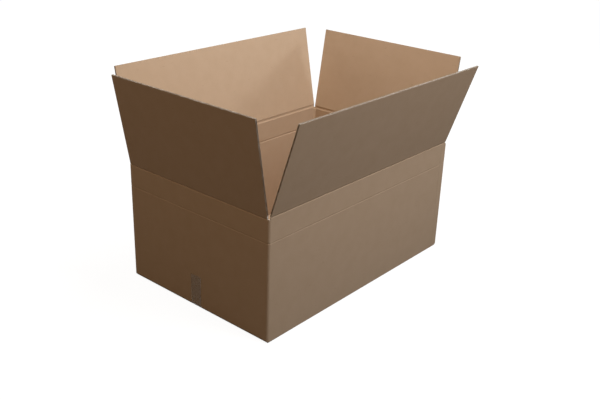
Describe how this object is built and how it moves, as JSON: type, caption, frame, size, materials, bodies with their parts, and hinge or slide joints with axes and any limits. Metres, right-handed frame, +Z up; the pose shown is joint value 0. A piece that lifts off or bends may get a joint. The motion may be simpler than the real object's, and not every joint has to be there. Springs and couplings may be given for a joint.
{
  "type": "double-wall corrugated box",
  "caption": "Large open-top shipping box of double-wall corrugated board, with hinged top flaps, a second score line and a taped bottom.",
  "frame": {"origin": "middle of the underside, where the bottom seam crosses the box's centre", "axes": "+X along the long walls, +Y along the short walls, +Z up"},
  "size_m": [1.327, 0.9922, 0.9192],
  "materials": {
    "kraft_board": "matt brown kraft liner",
    "clear_tape": "translucent, slightly glossy packing tape"
  },
  "bodies": {
    "box": {"box_body": "kraft_board", "sealing_tape": "clear_tape"},
    "flap_front": {"long_flap_front": "kraft_board"},
    "flap_back": {"long_flap_back": "kraft_board"},
    "flap_left": {"short_flap_left": "kraft_board"},
    "flap_right": {"short_flap_right": "kraft_board"}
  },
  "joints": [
    {"name": "front_crease", "type": "hinge", "parent": "box", "child": "flap_front", "pos_m": [0, -0.397, 0.5288], "axis": [-1, 0, 0], "range_deg": [-154, 107.9]},
    {"name": "back_crease", "type": "hinge", "parent": "box", "child": "flap_back", "pos_m": [0, 0.397, 0.5288], "axis": [1, 0, 0], "range_deg": [-160.9, 101.1]},
    {"name": "left_crease", "type": "hinge", "parent": "box", "child": "flap_left", "pos_m": [-0.597, 0, 0.5214], "axis": [0, 1, 0], "range_deg": [-162, 100]},
    {"name": "right_crease", "type": "hinge", "parent": "box", "child": "flap_right", "pos_m": [0.597, 0, 0.5214], "axis": [0, -1, 0], "range_deg": [-162.5, 99.3]}
  ]
}
